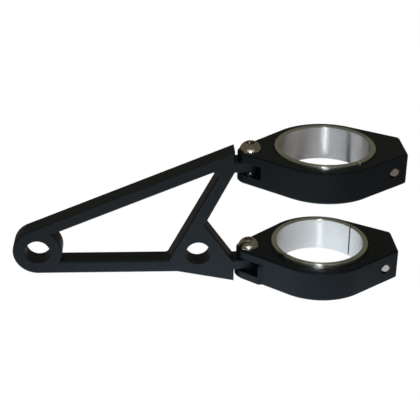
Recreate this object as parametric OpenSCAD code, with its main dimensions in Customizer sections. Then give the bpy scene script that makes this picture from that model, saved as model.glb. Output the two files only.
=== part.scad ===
// Headlight mounting bracket for one fork tube of a motorbike.
// A flat triangulated arm swivels on two fork clamps, one above the other.
// X runs along the arm, Y across it, Z up along the fork tube.
// The origin is on the fork tube's axis at mid-height of the lower clamp.

/* [Fork tube and sleeves] */
// Diameter of the fork tube, the inside of the reducer sleeves
fork_tube_d = 43; // [41:0.5:45]
// Wall of a reducer sleeve
sleeve_wall = 2.5; // [1.5:0.1:3.5]
// Length of a reducer sleeve along the fork tube
sleeve_length = 17.4; // [15:0.2:20]
// How far the upper sleeve stands above its clamp
upper_sleeve_rise = 1.2; // [0:0.1:3]
// How far the lower sleeve stands above its clamp
lower_sleeve_rise = 1.9; // [0:0.1:3]
// Width of the slit that lets a sleeve close on the tube
sleeve_slit = 0.8; // [0.5:0.1:3]
// Direction of the upper sleeve's slit round the fork axis
upper_slit_angle = -57; // [-180:1:180]
// Direction of the lower sleeve's slit round the fork axis
lower_slit_angle = 35; // [-180:1:180]
// Chamfer on the rims of a sleeve
sleeve_chamfer = 0.4; // [0.2:0.1:0.7]
// Radial gap between a sleeve and the clamp round it
sleeve_gap = 0.05; // [0.02:0.01:0.1]

/* [Clamps] */
// Height of a clamp along the fork tube
clamp_height = 16; // [15:0.5:22]
// Distance between the mid-heights of the two clamps
clamp_spacing = 52.6; // [48:0.2:60]
// Wall of a clamp round its sleeve
clamp_wall = 4.8; // [4:0.1:7]
// Distance from a clamp's bore wall to the end face of its jaws
jaw_length = 14; // [13.5:0.1:16]
// Length of the flat end face between its corner rounds
jaw_flat = 17.4; // [14:0.2:20]
// Radius of the upright corners of the jaws
jaw_corner_r = 1.5; // [1.2:0.1:3]
// Width of the split between the jaws
jaw_split = 0.8; // [0.5:0.1:2]
// Chamfer along the top and bottom edges of a clamp
clamp_chamfer = 0.9; // [0.4:0.1:1.1]
// Chamfer on the rims of a clamp's bore
bore_chamfer = 0.5; // [0.2:0.1:1]

/* [Pivots] */
// Distance from a clamp's bore wall to its pivot axis
pivot_standoff = 11.45; // [10.8:0.05:14]
// Radius of the clamp's nose round the pivot axis
nose_r = 6.2; // [5.6:0.1:6.6]
// Radius of the broad lower ear that the lower clamp has
lower_ear_r = 8.5; // [8:0.1:8.6]
// How far the centre of that radius lies from the pivot towards the fork
lower_ear_setback = 1.5; // [1.3:0.1:2]
// Width of the lower clamp over its broad ear
lower_ear_width = 25.6; // [24.6:0.2:27]
// Radius of the upright corners of the broad ear
ear_corner_r = 1.2; // [1.2:0.1:2]
// Height of the slot that takes the arm's tongue
slot_height = 7; // [6:0.1:8]
// Radius of the disc cutter that leaves the slot's curved end
slot_cutter_r = 40; // [30:1:60]
// Height of a tongue of the arm
tongue_height = 5.4; // [4.8:0.1:5.5]
// Gap between a tongue and the ear it runs closest to, on the side away from the other clamp
tongue_gap = 0.3; // [0.1:0.05:0.4]

/* [Arm] */
// Thickness of the arm plate
arm_t = 10; // [8:0.5:11]
// Gap between the arm's end face and the nose radius of the upper clamp
shoulder_gap = 1.45; // [1.45:0.05:2]
// Distance from the pivot axis to the far lamp hole
far_hole_reach = 103.8; // [90:0.2:120]
// Height of the far lamp hole above the lower clamp's mid-height
far_hole_z = 10.3; // [8:0.1:12]
// Distance from the pivot axis to the near lamp hole
near_hole_reach = 25.4; // [24.4:0.2:27]
// Height of the near lamp hole above the lower clamp's mid-height
near_hole_z = 7; // [6:0.1:8]
// Diameter of the two lamp holes
lamp_hole_d = 12; // [8:0.1:12.5]
// Radius of the round end of the arm
boss_r = 12; // [10:0.1:13]
// Width of the upper beam
top_beam = 6; // [5:0.1:8]
// Rise of the upper beam in degrees
top_angle = 21.65; // [19:0.05:23]
// Width of the lower beam
bottom_beam = 6.4; // [5:0.1:8]
// Fall of the lower beam in degrees, towards the fork
bottom_angle = 1.3; // [0:0.1:2]
// Width of the slanting strut
strut_width = 6; // [5:0.1:8]
// Slope of the strut in degrees
strut_angle = 61.3; // [59:0.1:63]
// Distance from the pivot to the strut's middle line, at mid-height of the lower clamp
strut_foot = 38.8; // [37:0.1:41]
// Slope of the gusset edge below the notch in degrees
gusset_angle = 55.9; // [50:0.1:60]
// Distance from the pivot axis to the gusset edge, at mid-height of the lower clamp
gusset_foot = 6.5; // [5:0.1:7.2]
// Distance from the pivot axis to the kink in the bottom edge
kink_reach = 35.8; // [33:0.2:38]
// Depth of the arm's lowest corner below the lower clamp's mid-height
heel_depth = 9.6; // [8:0.1:12]
// Chamfer along the outline of the arm
arm_chamfer = 0.6; // [0.2:0.1:1]
// Chamfer on the rims of the lamp holes
hole_chamfer = 0.3; // [0.1:0.1:0.8]
// Radius in the corners of the window
window_corner_r = 2; // [0.5:0.1:2.5]
// Radius in the notch between the strut and the gusset
notch_corner_r = 0.8; // [0.5:0.1:2.5]

/* [Screws] */
// Thread diameter of the two pivot screws
pivot_screw_d = 6; // [5:0.5:6.5]
// Head diameter of a pivot screw
button_d = 10.5; // [9:0.1:11]
// Head height of a pivot screw
button_h = 3.3; // [2.5:0.1:4]
// Diameter of the flat on top of a pivot screw's head
button_flat_d = 6; // [5.6:0.1:7]
// Height of the upright rim of a pivot screw's head
button_rim = 0.4; // [0.2:0.1:1]
// Thread diameter of the two clamp screws
clamp_screw_d = 5; // [4:0.5:5]
// Distance from a clamp's bore wall to its clamp screw
clamp_screw_offset = 7; // [6.6:0.1:8]
// Length of a clamp screw below its head
clamp_screw_length = 20; // [16:0.5:21]
// Depth of the head's seat from the split plane
clamp_screw_seat = 7; // [5:0.1:7]
// Head diameter of a clamp screw
cap_d = 8.5; // [7:0.1:8.6]
// Head height of a clamp screw
cap_h = 5; // [4:0.1:5.5]
// Radial room round the head of a clamp screw
cap_room = 0.5; // [0.2:0.1:0.7]
// Width across flats of the sockets in the screws
socket_af = 4; // [3:0.5:4.5]
// Depth of the sockets in the screws
socket_depth = 2.2; // [1:0.1:2.5]
// Radial room of a screw in its plain hole
screw_room = 0.25; // [0.1:0.05:0.5]
// Radial running clearance of a tongue on its pivot screw
pivot_clearance = 0.05; // [0.02:0.01:0.1]
// Radial clearance of a screw in its threaded hole
thread_clearance = 0.02; // [0.01:0.01:0.05]
// Chamfer on the ends of the screws
screw_chamfer = 0.5; // [0.2:0.1:0.8]

/* [Hidden] */
$fn = 96;

// Extra length of a cutter past the face that it cuts
past = 1;
// How far straight and round edges overlap where they run into each other
lap = 0.01;
// Room between the rounded end of a tongue and the end of its slot
tongue_end_room = 0.5;
// How far the broad ear of the lower clamp reaches past the pivot into the clamp
ear_depth = 7.5;
// How far below the slot's upper face the body of the broad ear ends
ear_step = 0.1;
// Distance from the pivot axis to the tongue's root inside the arm
tongue_root = 9;
// How far the end of a pivot screw stays inside the clamp
pivot_screw_rest = 0.2;
sleeve_r = fork_tube_d / 2 + sleeve_wall;
clamp_bore_r = sleeve_r + sleeve_gap;
clamp_r = clamp_bore_r + clamp_wall;
pivot_x = -(clamp_bore_r + pivot_standoff);
jaw_x = clamp_bore_r + jaw_length;
clamp_screw_x = clamp_bore_r + clamp_screw_offset;
upper_z = clamp_spacing;
tongue_shift = slot_height / 2 - tongue_gap - tongue_height / 2;
tongue_heights = [-tongue_shift, upper_z + tongue_shift];
slot_end_x = pivot_x + arm_t / 2 + tongue_end_room;
arm_end_x = pivot_x - nose_r - shoulder_gap;
pivot_screw_r = pivot_screw_d / 2;
clamp_screw_r = clamp_screw_d / 2;
lamp_holes = [
    [pivot_x - far_hole_reach, far_hole_z],
    [pivot_x - near_hole_reach, near_hole_z]
];

// Discs [x, y, r] round which a clamp's outline is drawn, anticlockwise
clamp_discs = [
    [jaw_x - jaw_corner_r, -jaw_flat / 2, jaw_corner_r],
    [jaw_x - jaw_corner_r, jaw_flat / 2, jaw_corner_r],
    [0, 0, clamp_r],
    [pivot_x, 0, nose_r],
    [0, 0, clamp_r]
];
// The broad ear keeps the slope of the clamp's own flank
flank = tangent_normal([0, 0, clamp_r], [pivot_x, 0, nose_r]);
ear_y = lower_ear_width / 2 - ear_corner_r;
ear_x = (flank[0] * (pivot_x + lower_ear_setback) + lower_ear_r - ear_corner_r
    - flank[1] * ear_y) / flank[0];
ear_root_x = pivot_x + ear_depth;
ear_top = slot_height / 2 - ear_step;
ear_discs = [
    [ear_root_x, -ear_y, ear_corner_r],
    [ear_root_x, ear_y, ear_corner_r],
    [ear_x, ear_y, ear_corner_r],
    [pivot_x + lower_ear_setback, 0, lower_ear_r],
    [ear_x, -ear_y, ear_corner_r]
];

// Geometry in the plane of an outline
function unit(a) = [cos(a), sin(a)];
function left_of(a) = [-sin(a), cos(a)];
function cross2(u, v) = u[0] * v[1] - u[1] * v[0];
// A line is [point, angle]; two lines meet at
function meet(l, m) =
    l[0] + unit(l[1]) * cross2(m[0] - l[0], unit(m[1])) / cross2(unit(l[1]), unit(m[1]));
// Outward direction in which two discs have their common tangent, on the right from a to b
function tangent_normal(a, b) =
    let (dx = b[0] - a[0], dy = b[1] - a[1], d = norm([dx, dy]),
        along = [dx, dy] / d, s = (a[2] - b[2]) / d)
    [along[1], -along[0]] * sqrt(1 - s * s) + along * s;
function on_disc(d, n) = [d[0], d[1]] + n * (d[2] - lap);
function next_of(list, i) = list[(i + 1) % len(list)];

// Lines of the arm's outline, seen in its own plane: x along, y up
far_hole = lamp_holes[0];
top_line = [far_hole + (boss_r - lap) * left_of(top_angle), top_angle];
window_top = [far_hole + (boss_r - top_beam) * left_of(top_angle), top_angle];
bottom_line = [far_hole - (boss_r - lap) * left_of(-bottom_angle), -bottom_angle];
window_bottom = [far_hole - (boss_r - bottom_beam) * left_of(-bottom_angle), -bottom_angle];
strut_line = [[pivot_x - strut_foot, 0], strut_angle];
strut_left = [strut_line[0] + strut_width / 2 * left_of(strut_angle), strut_angle];
strut_right = [strut_line[0] - strut_width / 2 * left_of(strut_angle), strut_angle];
gusset_line = [[pivot_x - gusset_foot, 0], 180 - gusset_angle];
end_line = [[arm_end_x, 0], 90];
kink_line = [[pivot_x - kink_reach, 0], 90];
tip = meet(top_line, end_line);
notch = meet(strut_right, gusset_line);
kink = meet(bottom_line, kink_line);
heel = [arm_end_x, -heel_depth];
heel_line = [kink, atan2(heel[1] - kink[1], heel[0] - kink[0])];

// Section of a plate from its middle out to an edge, with both corners of the edge chamfered
module edge_section(reach, h, e) {
    polygon([[0, -h / 2], [reach - e, -h / 2], [reach, e - h / 2],
        [reach, h / 2 - e], [reach - e, h / 2], [0, h / 2]]);
}

// Plate of height h whose outline is the taut band round a list of discs, chamfered by e.
// Its straight edges lie lap below the discs' tangents, so that each pair of faces crosses.
module banded_plate(discs, h, e) {
    last = len(discs) - 1;
    n = [for (i = [0 : last]) tangent_normal(discs[i], next_of(discs, i))];
    starts = [for (i = [0 : last]) on_disc(discs[i], n[i])];
    ends = [for (i = [0 : last]) on_disc(next_of(discs, i), n[i])];
    roots = [for (i = [0 : last]) let (b = next_of(discs, i))
        [b[0], b[1]] + (n[i] + next_of(n, i)) * b[2] / 8];
    difference() {
        union() {
            for (d = discs) translate([d[0], d[1], 0]) rotate_extrude() edge_section(d[2], h, e);
            linear_extrude(h, center = true)
                polygon([for (i = [0 : last]) each [starts[i], ends[i], roots[i]]]);
        }
        for (i = [0 : last]) edge_cutter(starts[i], ends[i], h, e + lap);
    }
}

// Round hole with chamfered rims, upright through a plate of height h
module rimmed_hole(r, h, c) {
    cylinder(r = r, h = h + 2 * past, center = true);
    for (s = [0, 1]) mirror([0, 0, s])
        translate([0, 0, h / 2 - c]) cylinder(r1 = r, r2 = r + c + past, h = c + past);
}

// Cutter that chamfers both faces of a plate of height t along the edge from p to q
module edge_cutter(p, q, t, c) {
    length = norm(q - p);
    translate([p[0], p[1], 0])
        rotate([0, 0, atan2(q[1] - p[1], q[0] - p[0])])
            translate([-2 * c, 0, 0]) rotate([90, 0, 90]) linear_extrude(length + 4 * c)
                for (s = [0, 1]) mirror([0, s])
                    polygon([[-past, t / 2 - c - past], [c + past, t / 2 + past],
                        [-past, t / 2 + past]]);
}

// Convex plate, points anticlockwise; edges flagged 1 are chamfered on both faces
module chamfered_plate(points, flags, t, c) {
    difference() {
        linear_extrude(t, center = true) polygon(points);
        for (i = [0 : len(points) - 1])
            if (flags[i] == 1) edge_cutter(points[i], next_of(points, i), t, c);
    }
}

// Filling in an inner corner at the meeting of two lines that leave it at angles a1 and a2
module corner_fill(corner, a1, a2, r, t, c) {
    half = (a2 - a1) / 2;
    mid = a1 + half;
    centre = corner + unit(mid) * (r - lap) / sin(half);
    depth = r + 2 * c;
    root = centre - unit(mid) * depth / sin(half);
    foot = depth / tan(half);
    difference() {
        linear_extrude(t, center = true)
            polygon([centre, root + unit(a1) * foot, root, root + unit(a2) * foot]);
        translate([centre[0], centre[1], 0]) rimmed_hole(r, t, c + lap);
    }
}

// The flat of the arm, lying down: the beams, strut and heel run into each other
module arm_plate() {
    foot_mid = meet(strut_line, window_bottom) - left_of(-bottom_angle) * bottom_beam / 2;
    beam_mid = [far_hole + (boss_r - top_beam / 2) * left_of(top_angle), top_angle];
    inner_tip = meet(window_top, end_line);
    notch_in = notch + left_of(strut_angle) * strut_width / 2;
    translate([far_hole[0], far_hole[1], 0])
        rotate_extrude() edge_section(boss_r, arm_t, arm_chamfer - lap);
    // Upper beam
    chamfered_plate([window_top[0], inner_tip, tip, top_line[0]], [1, 1, 1, 0],
        arm_t, arm_chamfer);
    // Strut, between the middles of the two beams
    chamfered_plate(
        [foot_mid + left_of(strut_angle) * strut_width / 2,
            foot_mid - left_of(strut_angle) * strut_width / 2,
            meet(strut_right, end_line), meet(beam_mid, end_line), meet(strut_left, beam_mid)],
        [0, 1, 1, 0, 1], arm_t, arm_chamfer);
    // Lower beam, which runs on inside the heel
    chamfered_plate(
        [bottom_line[0], kink + unit(-bottom_angle) * bottom_beam,
            meet(window_bottom, kink_line), window_bottom[0]],
        [1, 0, 1, 0], arm_t, arm_chamfer);
    // Heel round the near lamp hole, its edge starting inside the lower beam
    chamfered_plate(
        [kink - unit(heel_line[1]) * bottom_beam, heel, meet(end_line, gusset_line), notch,
            notch_in],
        [1, 1, 1, 0, 0], arm_t, arm_chamfer);
    // Rounded inner corners
    corner_fill(meet(strut_left, window_top), 180 + top_angle, 180 + strut_angle,
        window_corner_r, arm_t, arm_chamfer);
    corner_fill(meet(strut_left, window_bottom), strut_angle, 180 - bottom_angle,
        window_corner_r, arm_t, arm_chamfer);
    corner_fill(notch, -gusset_angle, strut_angle, notch_corner_r, arm_t, arm_chamfer);
}

// Tongue about its pivot axis: a round end and a bar that runs back into the arm
module tongue() {
    half_width = arm_t / 2 - lap;
    rotate_extrude() edge_section(arm_t / 2, tongue_height, arm_chamfer);
    translate([-tongue_root, 0, 0]) rotate([90, 0, 90]) linear_extrude(tongue_root)
        for (s = [0, 1]) mirror([s, 0])
            edge_section(half_width, tongue_height, arm_chamfer + lap);
}

module bracket_arm() {
    color([0.05, 0.05, 0.055]) difference() {
        union() {
            rotate([90, 0, 0]) arm_plate();
            for (z = tongue_heights) translate([pivot_x, 0, z]) tongue();
        }
        for (z = tongue_heights) translate([pivot_x, 0, z])
            cylinder(r = pivot_screw_r + pivot_clearance, h = tongue_height + 2 * past,
                center = true);
        for (p = lamp_holes) translate([p[0], 0, p[1]]) rotate([90, 0, 0])
            rimmed_hole(lamp_hole_d / 2, arm_t, hole_chamfer);
    }
}

// One clamp about its own centre; the lower one has a broad ear below its slot
module clamp_body(broad_ear) {
    color([0.05, 0.05, 0.055]) difference() {
        union() {
            banded_plate(clamp_discs, clamp_height, clamp_chamfer);
            if (broad_ear) translate([0, 0, (ear_top - clamp_height / 2) / 2])
                banded_plate(ear_discs, ear_top + clamp_height / 2, clamp_chamfer);
        }
        rimmed_hole(clamp_bore_r, clamp_height, bore_chamfer);
        // Split between the jaws
        translate([0, -jaw_split / 2, -clamp_height / 2 - past])
            cube([jaw_x + past, jaw_split, clamp_height + 2 * past]);
        // Slot for the tongue, left by a disc cutter
        translate([slot_end_x - slot_cutter_r, 0, 0])
            cylinder(r = slot_cutter_r, h = slot_height, center = true);
        // Pivot hole: plain above the slot, threaded below it
        translate([pivot_x, 0, 0]) cylinder(r = pivot_screw_r + screw_room, h = clamp_height);
        translate([pivot_x, 0, -clamp_height])
            cylinder(r = pivot_screw_r + thread_clearance, h = clamp_height);
        // Clamp screw: threaded in the near jaw, plain and counterbored in the far one
        translate([clamp_screw_x, 0, 0]) rotate([90, 0, 0]) {
            cylinder(r = clamp_screw_r + thread_clearance, h = clamp_r);
            mirror([0, 0, 1]) cylinder(r = clamp_screw_r + screw_room, h = clamp_r);
            mirror([0, 0, 1]) translate([0, 0, clamp_screw_seat])
                cylinder(r = cap_d / 2 + cap_room, h = clamp_r);
        }
    }
}

// Split ring that fills the clamp down to the tube's size, standing rise above it
module sleeve(rise, slit_angle) {
    half = sleeve_length / 2;
    c = sleeve_chamfer;
    inner = fork_tube_d / 2;
    color([0.78, 0.79, 0.8]) translate([0, 0, clamp_height / 2 + rise - half]) difference() {
        rotate_extrude() polygon([[inner + c, -half], [sleeve_r - c, -half],
            [sleeve_r, c - half], [sleeve_r, half - c], [sleeve_r - c, half],
            [inner + c, half], [inner, half - c], [inner, c - half]]);
        rotate([0, 0, slit_angle]) translate([0, -sleeve_slit / 2, -half - past])
            cube([sleeve_r + past, sleeve_slit, sleeve_length + 2 * past]);
    }
}

module hex_socket() {
    translate([0, 0, -socket_depth])
        cylinder(r = socket_af / 2 / cos(30), h = socket_depth + past, $fn = 6);
}

// Screw shank hanging from z = 0, with its end chamfered
module shank(r, length) {
    c = screw_chamfer;
    rotate_extrude() polygon([[0, 0], [r, 0], [r, c - length], [r - c, -length], [0, -length]]);
}

// Button-headed screw, its head seated on the clamp's top face
module pivot_screw() {
    rim = button_d / 2;
    flat = button_flat_d / 2;
    dome_z = (flat * flat + button_h * button_h - rim * rim - button_rim * button_rim)
        / (2 * (button_h - button_rim));
    dome_r = norm([rim, button_rim - dome_z]);
    color([0.72, 0.7, 0.66]) translate([pivot_x, 0, clamp_height / 2]) {
        difference() {
            rotate_extrude() intersection() {
                square([rim, button_h]);
                translate([0, dome_z]) circle(r = dome_r);
            }
            translate([0, 0, button_h]) hex_socket();
        }
        shank(pivot_screw_r, clamp_height - pivot_screw_rest);
    }
}

// Cap screw across the jaws, its head sunk in the far one
module clamp_screw() {
    color([0.7, 0.7, 0.7]) translate([clamp_screw_x, clamp_screw_seat, 0]) rotate([-90, 0, 0]) {
        difference() {
            cylinder(d = cap_d, h = cap_h);
            translate([0, 0, cap_h]) hex_socket();
        }
        shank(clamp_screw_r, clamp_screw_length);
    }
}

module upper_clamp() {
    translate([0, 0, upper_z]) clamp_body(false);
}

module lower_clamp() {
    clamp_body(true);
}

module upper_sleeve() {
    translate([0, 0, upper_z]) sleeve(upper_sleeve_rise, upper_slit_angle);
}

module lower_sleeve() {
    sleeve(lower_sleeve_rise, lower_slit_angle);
}

module upper_pivot_screw() {
    translate([0, 0, upper_z]) pivot_screw();
}

module lower_pivot_screw() {
    pivot_screw();
}

module upper_clamp_screw() {
    translate([0, 0, upper_z]) clamp_screw();
}

module lower_clamp_screw() {
    clamp_screw();
}

bracket_arm();
upper_clamp();
lower_clamp();
upper_sleeve();
lower_sleeve();
upper_pivot_screw();
lower_pivot_screw();
upper_clamp_screw();
lower_clamp_screw();
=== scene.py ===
"""Looks of a headlight mounting bracket: black anodised arm and clamps, turned sleeves, bright screws."""

import math

import bmesh
import bpy
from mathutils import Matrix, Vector


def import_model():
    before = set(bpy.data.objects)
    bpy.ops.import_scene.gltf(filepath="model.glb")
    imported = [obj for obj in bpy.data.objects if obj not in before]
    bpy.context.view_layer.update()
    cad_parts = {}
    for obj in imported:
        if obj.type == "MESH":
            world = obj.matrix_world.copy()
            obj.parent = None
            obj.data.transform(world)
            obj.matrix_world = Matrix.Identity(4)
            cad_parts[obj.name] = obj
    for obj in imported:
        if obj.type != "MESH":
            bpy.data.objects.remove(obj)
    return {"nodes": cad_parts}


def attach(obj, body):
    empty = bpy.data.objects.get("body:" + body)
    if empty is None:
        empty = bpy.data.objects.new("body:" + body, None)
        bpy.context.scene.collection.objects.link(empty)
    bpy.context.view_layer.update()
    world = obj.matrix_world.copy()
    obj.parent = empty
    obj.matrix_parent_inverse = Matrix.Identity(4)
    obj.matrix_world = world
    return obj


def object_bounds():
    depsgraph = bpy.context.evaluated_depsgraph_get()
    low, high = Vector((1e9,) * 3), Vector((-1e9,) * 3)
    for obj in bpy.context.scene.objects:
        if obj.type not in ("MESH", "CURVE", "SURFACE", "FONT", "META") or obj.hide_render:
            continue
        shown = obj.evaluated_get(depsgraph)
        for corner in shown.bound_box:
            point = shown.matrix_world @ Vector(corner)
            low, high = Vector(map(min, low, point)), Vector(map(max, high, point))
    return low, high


MM = 0.001

# Camera of the photograph: place in millimetres, angles in degrees, lens and sensor in millimetres
CAMERA_PLACE = (-81.3, -440.7, 265.0)
CAMERA_TURN = 3.449
CAMERA_TILT = 28.18
CAMERA_LENS = 88.06
SENSOR_WIDTH = 36
NEAREST_SEEN = 0.01
FARTHEST_SEEN = 20

# The strut's foot at the window, in the arm's plane, in millimetres and degrees
FOOT_CORNER = Vector((-75.935, 3.261))
STRUT_RISE = 61.3
BEAM_FALL = 1.3
CORNER_RADIUS = 2.0
CORNER_STEPS = 8
LEAD_IN = 0.3
STRUT_REACH = 52.8
PLATE_HALF = 5.0
PLATE_CHAMFER = 0.6

# How far the foot's faces stand off the arm's, in millimetres, so that no two share a plane
PROUD = 0.01

# The foot's hidden edges in the metal, in millimetres from its start, its corner and its top
START_ROOT = Vector((0.0, -0.4))
LOW_ROOT = Vector((3.2, -1.2))
HIGH_ROOT = Vector((3.4, 1.0))
TOP_ROOT = Vector((1.0, -0.5))

# Softness of each piece's edges, in millimetres
ARM_EDGE = 0.2
CLAMP_EDGE = 0.45
SLEEVE_EDGE = 0.08
PIVOT_SCREW_EDGE = 0.12
CLAMP_SCREW_EDGE = 0.1

# How edges are found and rounded: metres, degrees, steps and the weight of flat faces
WELD_REACH = 0.000001
SHARP_ANGLE = 28
EDGE_STEPS = 3
FLAT_WEIGHT = 80

# The plain studio, in metres; the pool is the bright part of the floor under the bracket
BACKDROP_WHITE = 1.0
SKY_LEVEL = 0.25
FLOOR_DROP = 0.06
FLOOR_RADIUS = 2.5
FLOOR_SIDES = 64
POOL_PLACE = (-0.05, -0.04)
POOL_REACH = 0.28

# What reflections find: a dim room, and a cool pool of light on a dim floor
ROOM_TINT = (0.115, 0.112, 0.078, 1)
FLOOR_TINT = (0.155, 0.130, 0.122, 1)
POOL_TINT = (1.15, 1.28, 1.38, 1)

# Lamps: place, width and height in metres, power in watts, colour, and whether metal mirrors them
LAMP_AIM = (-0.05, 0, 0.02)
LAMPS = {
    "flash": ((-0.078, -0.47, 0.21), (0.012, 0.025), 0.95, (0.93, 0.97, 1.0), True),
    "band_front": ((-0.08, -0.60, 0.43), (0.9, 0.18), 0.4, (1.0, 0.99, 0.96), True),
    "soft_front": ((-0.55, -0.75, 0.45), (0.6, 0.6), 5.0, (0.80, 0.91, 1.0), False),
    "soft_top": ((0.25, 0.25, 0.95), (0.7, 0.7), 5.0, (1.0, 0.97, 0.92), False),
}

# Colours, linear
WHITE = (1, 1, 1, 1)
FLOOR_PAINT = (0.7, 0.7, 0.7, 1)
BLUE_BLACK = (0.0016, 0.0028, 0.0042, 1)
OLIVE_BLACK = (0.0028, 0.0030, 0.0026, 1)
# Painted highlight: a paler blue-black laid along the black parts' edges, as if light caught their
# chamfers
EDGE_HIGHLIGHT_BLACK = (0.035, 0.039, 0.044, 1)
ALUMINIUM_COOL = (0.80, 0.82, 0.84, 1)
ALUMINIUM_WARM = (0.80, 0.77, 0.72, 1)
STEEL_PALE = (0.72, 0.70, 0.66, 1)
STEEL_WARM = (0.58, 0.52, 0.43, 1)

# Painted sheen: the same black coating has a little stronger sheen on the arm than on the clamps, so that
# the arm looks more lit
ARM_PAINTED_SHEEN = {"Specular IOR Level": 0.38, "Specular Tint": (0.78, 0.90, 1.0, 1)}
CLAMP_PAINTED_SHEEN = {"Specular IOR Level": 0.30, "Specular Tint": (0.70, 0.86, 1.0, 1)}

# Sockets of a Mix node that blends colours, which its names don't tell apart
MIX_FIRST = 6
MIX_SECOND = 7
MIX_RESULT = 2

# Middle of what a Noise node gives
NOISE_MIDDLE = 0.5


def set_inputs(node, values):
    """Sets a node's inputs by name or number."""
    for name, value in values.items():
        node.inputs[name].default_value = value


def add_node(tree, kind, place, values=None, **settings):
    """A new shader node with its settings and its inputs' values."""
    node = tree.nodes.new("ShaderNode" + kind)
    node.location = place
    for name, value in settings.items():
        setattr(node, name, value)
    set_inputs(node, values or {})
    return node


def clear_tree(owner):
    """The emptied node tree of a material or a world."""
    owner.use_nodes = True
    owner.node_tree.nodes.clear()
    return owner.node_tree


def mix_shaders(tree, place, factor, first, second):
    """Output of a Mix Shader that goes from the first shader to the second."""
    blend = add_node(tree, "MixShader", place)
    tree.links.new(factor, blend.inputs["Fac"])
    tree.links.new(first, blend.inputs[1])
    tree.links.new(second, blend.inputs[2])
    return blend.outputs[0]


def new_group(name, inputs, outputs):
    """A shader node group; inputs are (name, kind, default) and outputs (name, kind)."""
    group = bpy.data.node_groups.new(name, "ShaderNodeTree")
    for label, kind, default in inputs:
        socket = group.interface.new_socket(label, in_out="INPUT", socket_type="NodeSocket" + kind)
        socket.default_value = default
    for label, kind in outputs:
        group.interface.new_socket(label, in_out="OUTPUT", socket_type="NodeSocket" + kind)
    start = group.nodes.new("NodeGroupInput")
    start.location = (-900, 0)
    end = group.nodes.new("NodeGroupOutput")
    end.location = (600, 0)
    return group, start, end


def place_group(tree, group, place, values):
    """A node group in a material, with this material's own values."""
    node = tree.nodes.new("ShaderNodeGroup")
    node.node_tree = group
    node.location = place
    set_inputs(node, values)
    return node


def new_material(name):
    """A material with a Principled BSDF on its surface."""
    material = bpy.data.materials.new(name)
    tree = clear_tree(material)
    shader = add_node(tree, "BsdfPrincipled", (400, 0))
    output = add_node(tree, "OutputMaterial", (700, 0))
    tree.links.new(shader.outputs["BSDF"], output.inputs["Surface"])
    return material, tree, shader


def make_mottle_group():
    """Slow drift between two colours and a finer drift of a value, as a finish bath leaves them."""
    group, start, end = new_group(
        "mottle",
        [("First", "Color", (0, 0, 0, 1)), ("Second", "Color", WHITE),
         ("Patch Scale", "Float", 40.0), ("Value", "Float", 0.4),
         ("Value Drift", "Float", 0.05), ("Value Scale", "Float", 400.0)],
        [("Color", "Color"), ("Value", "Float")])
    link = group.links.new
    spot = add_node(group, "TexCoord", (-900, -300))
    patches = add_node(group, "TexNoise", (-600, 100), {"Detail": 3.0, "Roughness": 0.6})
    link(spot.outputs["Object"], patches.inputs["Vector"])
    link(start.outputs["Patch Scale"], patches.inputs["Scale"])
    blend = add_node(group, "Mix", (-300, 100), data_type="RGBA")
    link(patches.outputs["Fac"], blend.inputs["Factor"])
    link(start.outputs["First"], blend.inputs[MIX_FIRST])
    link(start.outputs["Second"], blend.inputs[MIX_SECOND])
    link(blend.outputs[MIX_RESULT], end.inputs["Color"])
    fine = add_node(group, "TexNoise", (-600, -300), {"Detail": 4.0})
    link(spot.outputs["Object"], fine.inputs["Vector"])
    link(start.outputs["Value Scale"], fine.inputs["Scale"])
    centred = add_node(group, "Math", (-300, -300), {1: NOISE_MIDDLE}, operation="SUBTRACT")
    link(fine.outputs["Fac"], centred.inputs[0])
    drift = add_node(group, "Math", (0, -300), operation="MULTIPLY_ADD")
    link(centred.outputs[0], drift.inputs[0])
    link(start.outputs["Value Drift"], drift.inputs[1])
    link(start.outputs["Value"], drift.inputs[2])
    link(drift.outputs[0], end.inputs["Value"])
    return group


def make_edge_highlight_group():
    """Mask of edges about Width wide, broken up by noise, for a painted highlight along them."""
    group, start, end = new_group(
        "painted_edge_highlight",
        [("Width", "Float", 0.0004), ("Strength", "Float", 4.0), ("Break Scale", "Float", 900.0)],
        [("Mask", "Float")])
    link = group.links.new
    rounded = add_node(group, "Bevel", (-600, 100), samples=6)
    link(start.outputs["Width"], rounded.inputs["Radius"])
    plain = add_node(group, "NewGeometry", (-600, -100))
    facing = add_node(group, "VectorMath", (-400, 0), operation="DOT_PRODUCT")
    link(rounded.outputs["Normal"], facing.inputs[0])
    link(plain.outputs["Normal"], facing.inputs[1])
    bend = add_node(group, "Math", (-200, 0), {0: 1.0}, operation="SUBTRACT")
    link(facing.outputs["Value"], bend.inputs[1])
    gain = add_node(group, "Math", (0, 0), operation="MULTIPLY")
    link(bend.outputs[0], gain.inputs[0])
    link(start.outputs["Strength"], gain.inputs[1])
    spot = add_node(group, "TexCoord", (-900, -300))
    broken = add_node(group, "TexNoise", (-400, -300), {"Detail": 3.0})
    link(spot.outputs["Object"], broken.inputs["Vector"])
    link(start.outputs["Break Scale"], broken.inputs["Scale"])
    cut = add_node(group, "Math", (200, 0), operation="MULTIPLY", use_clamp=True)
    link(gain.outputs[0], cut.inputs[0])
    link(broken.outputs["Fac"], cut.inputs[1])
    link(cut.outputs[0], end.inputs["Mask"])
    return group


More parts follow.
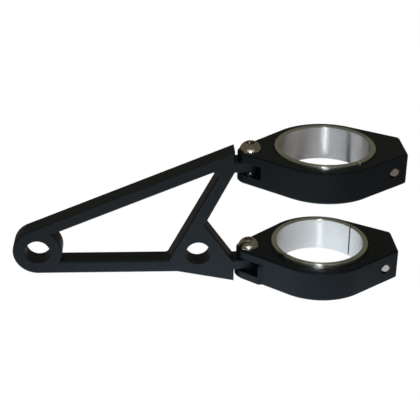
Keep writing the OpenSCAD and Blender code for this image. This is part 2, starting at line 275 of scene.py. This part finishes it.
def make_grain_group():
    """Normal of a fine grain; the larger Stretch is along an axis, the finer the grain is there."""
    group, start, end = new_group(
        "fine_grain",
        [("Scale", "Float", 2500.0), ("Depth", "Float", 0.00001), ("Strength", "Float", 0.3),
         ("Stretch", "Vector", (1, 1, 1))],
        [("Normal", "Vector")])
    link = group.links.new
    spot = add_node(group, "TexCoord", (-900, -300))
    drawn = add_node(group, "VectorMath", (-700, -200), operation="MULTIPLY")
    link(spot.outputs["Object"], drawn.inputs[0])
    link(start.outputs["Stretch"], drawn.inputs[1])
    grain = add_node(group, "TexNoise", (-500, -200), {"Detail": 2.0})
    link(drawn.outputs[0], grain.inputs["Vector"])
    link(start.outputs["Scale"], grain.inputs["Scale"])
    bump = add_node(group, "Bump", (-200, 0))
    link(start.outputs["Strength"], bump.inputs["Strength"])
    link(start.outputs["Depth"], bump.inputs["Distance"])
    link(grain.outputs["Fac"], bump.inputs["Height"])
    link(bump.outputs["Normal"], end.inputs["Normal"])
    return group


def make_black_anodised(name, sheen, mottle, edge, grain):
    """Satin black coating on milled aluminium, with a painted highlight along its edges."""
    material, tree, shader = new_material(name)
    link = tree.links.new
    set_inputs(shader, {"Metallic": 0.0, **sheen})
    finish = place_group(tree, mottle, (-600, 200), {
        "First": BLUE_BLACK, "Second": OLIVE_BLACK, "Patch Scale": 45.0,
        "Value": 0.42, "Value Drift": 0.14, "Value Scale": 900.0})
    # Painted highlight: the edges are coloured paler, as if lit along their chamfers
    edge_highlight_mask = place_group(tree, edge, (-600, -100), {
        "Width": 0.35 * MM, "Strength": 3.0, "Break Scale": 1200.0})
    colour = add_node(tree, "Mix", (0, 200), {MIX_SECOND: EDGE_HIGHLIGHT_BLACK}, data_type="RGBA")
    link(finish.outputs["Color"], colour.inputs[MIX_FIRST])
    link(edge_highlight_mask.outputs["Mask"], colour.inputs["Factor"])
    link(colour.outputs[MIX_RESULT], shader.inputs["Base Color"])
    link(finish.outputs["Value"], shader.inputs["Roughness"])
    skin = place_group(tree, grain, (0, -300), {
        "Scale": 3200.0, "Depth": 0.02 * MM, "Strength": 0.35, "Stretch": (1, 1, 1)})
    link(skin.outputs["Normal"], shader.inputs["Normal"])
    return material


def make_turned_aluminium(mottle, grain):
    """Bare aluminium turned on a lathe, with fine lines round the upright axis."""
    material, tree, shader = new_material("turned_aluminium")
    link = tree.links.new
    set_inputs(shader, {"Metallic": 1.0, "Anisotropic": 1.0, "Anisotropic Rotation": 0.25})
    finish = place_group(tree, mottle, (-600, 200), {
        "First": ALUMINIUM_COOL, "Second": ALUMINIUM_WARM, "Patch Scale": 30.0,
        "Value": 0.22, "Value Drift": 0.06, "Value Scale": 300.0})
    link(finish.outputs["Color"], shader.inputs["Base Color"])
    link(finish.outputs["Value"], shader.inputs["Roughness"])
    lines = place_group(tree, grain, (0, -300), {
        "Scale": 100.0, "Depth": 0.06 * MM, "Strength": 1.0, "Stretch": (0.3, 0.3, 40.0)})
    link(lines.outputs["Normal"], shader.inputs["Normal"])
    around = add_node(tree, "Tangent", (0, -500), direction_type="RADIAL", axis="Z")
    link(around.outputs["Tangent"], shader.inputs["Tangent"])
    return material


def make_stainless(mottle, grain):
    """Bright stainless steel of the screws, with a trace of handling."""
    material, tree, shader = new_material("stainless")
    link = tree.links.new
    set_inputs(shader, {"Metallic": 1.0})
    finish = place_group(tree, mottle, (-600, 200), {
        "First": STEEL_PALE, "Second": STEEL_WARM, "Patch Scale": 260.0,
        "Value": 0.2, "Value Drift": 0.16, "Value Scale": 1500.0})
    link(finish.outputs["Color"], shader.inputs["Base Color"])
    link(finish.outputs["Value"], shader.inputs["Roughness"])
    skin = place_group(tree, grain, (0, -300), {
        "Scale": 1500.0, "Depth": 0.01 * MM, "Strength": 0.2, "Stretch": (1, 1, 1)})
    link(skin.outputs["Normal"], shader.inputs["Normal"])
    return material


def soften_edges(part, width):
    """Rounds a CAD node's sharp edges by a width in millimetres and shades its curved faces smoothly."""
    for face in part.data.polygons:
        face.use_smooth = True
    weld = part.modifiers.new("weld", "WELD")
    weld.merge_threshold = WELD_REACH
    bevel = part.modifiers.new("soft_edges", "BEVEL")
    bevel.width = width * MM
    bevel.segments = EDGE_STEPS
    bevel.limit_method = "ANGLE"
    bevel.angle_limit = math.radians(SHARP_ANGLE)
    bevel.miter_outer = "MITER_ARC"
    bevel.use_clamp_overlap = True
    normals = part.modifiers.new("even_normals", "WEIGHTED_NORMAL")
    normals.keep_sharp = True
    normals.weight = FLAT_WEIGHT


def dress_nodes(nodes, arm_black, clamp_black, aluminium, steel):
    """Gives each CAD node its finish and its soft edges."""
    finishes = {"bracket_arm": (arm_black, ARM_EDGE)}
    for level in ("upper", "lower"):
        finishes[level + "_clamp"] = (clamp_black, CLAMP_EDGE)
        finishes[level + "_sleeve"] = (aluminium, SLEEVE_EDGE)
        finishes[level + "_pivot_screw"] = (steel, PIVOT_SCREW_EDGE)
        finishes[level + "_clamp_screw"] = (steel, CLAMP_SCREW_EDGE)
    for name, (material, width) in finishes.items():
        part = nodes[name]
        part.data.materials.clear()
        part.data.materials.append(material)
        soften_edges(part, width)


def slope(degrees):
    """Unit direction in the arm's plane, X and Z, at an angle above +X."""
    return Vector((math.cos(math.radians(degrees)), math.sin(math.radians(degrees))))


def window_side(inset):
    """The window's outline round the strut's foot, in millimetres, moved into the metal by inset."""
    beam = slope(-BEAM_FALL)
    strut = slope(STRUT_RISE)
    into_beam = Vector((beam.y, -beam.x))
    into_strut = Vector((strut.y, -strut.x))
    turn = math.radians(STRUT_RISE + BEAM_FALL)
    setback = CORNER_RADIUS * math.tan(turn / 2)
    start = FOOT_CORNER - beam * setback
    centre = start - into_beam * CORNER_RADIUS
    points = [start - beam * LEAD_IN + into_beam * inset]
    first = math.atan2(into_beam.y, into_beam.x)
    for step in range(CORNER_STEPS + 1):
        angle = first + turn * step / CORNER_STEPS
        points.append(centre + Vector((math.cos(angle), math.sin(angle))) * (CORNER_RADIUS + inset))
    top = FOOT_CORNER + strut * STRUT_REACH
    points.append(top + into_strut * inset)
    return points


def build_strut_foot(black):
    """Slim wedge that brings the strut's left side down to the window's corner, flush with the plate."""
    bare = window_side(-PROUD)
    faced = window_side(PLATE_CHAMFER - PROUD)
    top = FOOT_CORNER + slope(STRUT_RISE) * STRUT_REACH
    roots = [faced[0] + START_ROOT, FOOT_CORNER + LOW_ROOT, FOOT_CORNER + HIGH_ROOT, top + TOP_ROOT]
    half = PLATE_HALF + PROUD
    mesh = bmesh.new()

    def corner(point, depth):
        return mesh.verts.new((point.x * MM, depth * MM, point.y * MM))

    rings = []
    for outer, inner in zip(faced, bare):
        rings.append([corner(outer, -half), corner(inner, PLATE_CHAMFER - half),
                      corner(inner, half - PLATE_CHAMFER), corner(outer, half)])
    near = [corner(point, -half) for point in roots]
    far = [corner(point, half) for point in roots]
    strips = range(len(rings[0]) - 1)
    for one, other in zip(rings, rings[1:]):
        for k in strips:
            mesh.faces.new((one[k], one[k + 1], other[k + 1], other[k]))
    for k in range(len(roots) - 1):
        mesh.faces.new((near[k], near[k + 1], far[k + 1], far[k]))
    mesh.faces.new([ring[0] for ring in rings] + near[::-1])
    mesh.faces.new([ring[-1] for ring in rings] + far[::-1])
    mesh.faces.new(rings[0] + [far[0], near[0]])
    mesh.faces.new(rings[-1] + [far[-1], near[-1]])
    bmesh.ops.recalc_face_normals(mesh, faces=mesh.faces)
    data = bpy.data.meshes.new("strut_foot")
    mesh.to_mesh(data)
    mesh.free()
    foot = bpy.data.objects.new("strut_foot", data)
    bpy.context.scene.collection.objects.link(foot)
    data.materials.append(black)
    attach(foot, "arm")


def build_world():
    """White to the camera, dim and warm in reflections, and an even soft light on everything."""
    world = bpy.data.worlds.new("studio")
    bpy.context.scene.world = world
    tree = clear_tree(world)
    link = tree.links.new
    path = add_node(tree, "LightPath", (-700, 200))
    through = add_node(tree, "Math", (-500, 200), operation="MAXIMUM")
    link(path.outputs["Is Camera Ray"], through.inputs[0])
    link(path.outputs["Is Transmission Ray"], through.inputs[1])
    sky = add_node(tree, "Background", (-300, 0), {"Color": WHITE, "Strength": SKY_LEVEL})
    room = add_node(tree, "Background", (-300, -150), {"Color": ROOM_TINT, "Strength": 1.0})
    backdrop = add_node(tree, "Background", (-300, -300), {"Color": WHITE, "Strength": BACKDROP_WHITE})
    mirrored = mix_shaders(tree, (0, 0), path.outputs["Is Glossy Ray"], sky.outputs[0], room.outputs[0])
    seen = mix_shaders(tree, (300, 0), through.outputs[0], mirrored, backdrop.outputs[0])
    output = add_node(tree, "OutputWorld", (500, 0))
    link(seen, output.inputs["Surface"])


def build_floor(low):
    """Floor below the height low: white to the camera, pale to soft light, a cool pool in reflections."""
    bpy.ops.mesh.primitive_circle_add(vertices=FLOOR_SIDES, radius=FLOOR_RADIUS, fill_type="NGON",
                                      location=(*POOL_PLACE, low - FLOOR_DROP))
    floor = bpy.context.object
    floor.name = "floor"
    material = bpy.data.materials.new("pale_floor")
    tree = clear_tree(material)
    link = tree.links.new
    path = add_node(tree, "LightPath", (-500, 300))
    paint = add_node(tree, "BsdfDiffuse", (-300, 100), {"Color": FLOOR_PAINT})
    white = add_node(tree, "Emission", (-300, -50), {"Color": WHITE, "Strength": BACKDROP_WHITE})
    spot = add_node(tree, "TexCoord", (-1100, -250))
    away = add_node(tree, "VectorMath", (-900, -250), operation="LENGTH")
    link(spot.outputs["Object"], away.inputs[0])
    fade = add_node(tree, "MapRange", (-700, -250), {"From Min": 0.0, "From Max": POOL_REACH},
                    interpolation_type="SMOOTHSTEP")
    link(away.outputs["Value"], fade.inputs["Value"])
    tint = add_node(tree, "Mix", (-500, -250), {MIX_FIRST: POOL_TINT, MIX_SECOND: FLOOR_TINT},
                    data_type="RGBA")
    link(fade.outputs["Result"], tint.inputs["Factor"])
    cool = add_node(tree, "Emission", (-300, -200), {"Strength": 1.0})
    link(tint.outputs[MIX_RESULT], cool.inputs["Color"])
    mirrored = mix_shaders(tree, (0, 0), path.outputs["Is Glossy Ray"], paint.outputs[0], cool.outputs[0])
    seen = mix_shaders(tree, (300, 0), path.outputs["Is Camera Ray"], mirrored, white.outputs[0])
    output = add_node(tree, "OutputMaterial", (500, 0))
    link(seen, output.inputs["Surface"])
    floor.data.materials.append(material)


def build_lamps():
    """The lamps, all turned to the bracket."""
    for name, (place, size, power, colour, mirrored) in LAMPS.items():
        lamp = bpy.data.lights.new(name, "AREA")
        lamp.shape = "RECTANGLE"
        lamp.size, lamp.size_y = size
        lamp.energy = power
        lamp.color = colour
        holder = bpy.data.objects.new(name, lamp)
        bpy.context.scene.collection.objects.link(holder)
        holder.location = place
        toward = Vector(LAMP_AIM) - Vector(place)
        holder.rotation_euler = toward.to_track_quat("-Z", "Y").to_euler()
        holder.visible_glossy = mirrored


def build_camera():
    """The camera, where the photograph was taken from."""
    lens = bpy.data.cameras.new("view")
    lens.lens = CAMERA_LENS
    lens.sensor_width = SENSOR_WIDTH
    lens.clip_start = NEAREST_SEEN
    lens.clip_end = FARTHEST_SEEN
    camera = bpy.data.objects.new("view", lens)
    bpy.context.scene.collection.objects.link(camera)
    camera.location = [v * MM for v in CAMERA_PLACE]
    camera.rotation_euler = (math.radians(90 - CAMERA_TILT), 0, math.radians(-CAMERA_TURN))
    bpy.context.scene.camera = camera


def main():
    """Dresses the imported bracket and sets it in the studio."""
    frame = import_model()
    cad_box = [list(corner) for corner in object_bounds()]
    mottle = make_mottle_group()
    edge = make_edge_highlight_group()
    grain = make_grain_group()
    # Lit and shaded copies of one black: the arm's copy has the stronger sheen, a painted brightness
    arm_black = make_black_anodised("arm_black", ARM_PAINTED_SHEEN, mottle, edge, grain)
    clamp_black = make_black_anodised("clamp_black", CLAMP_PAINTED_SHEEN, mottle, edge, grain)
    aluminium = make_turned_aluminium(mottle, grain)
    steel = make_stainless(mottle, grain)
    dress_nodes(frame["nodes"], arm_black, clamp_black, aluminium, steel)
    build_strut_foot(arm_black)
    build_world()
    build_floor(cad_box[0][2])
    build_lamps()
    build_camera()
    bpy.context.scene.view_settings.view_transform = "Standard"


main()
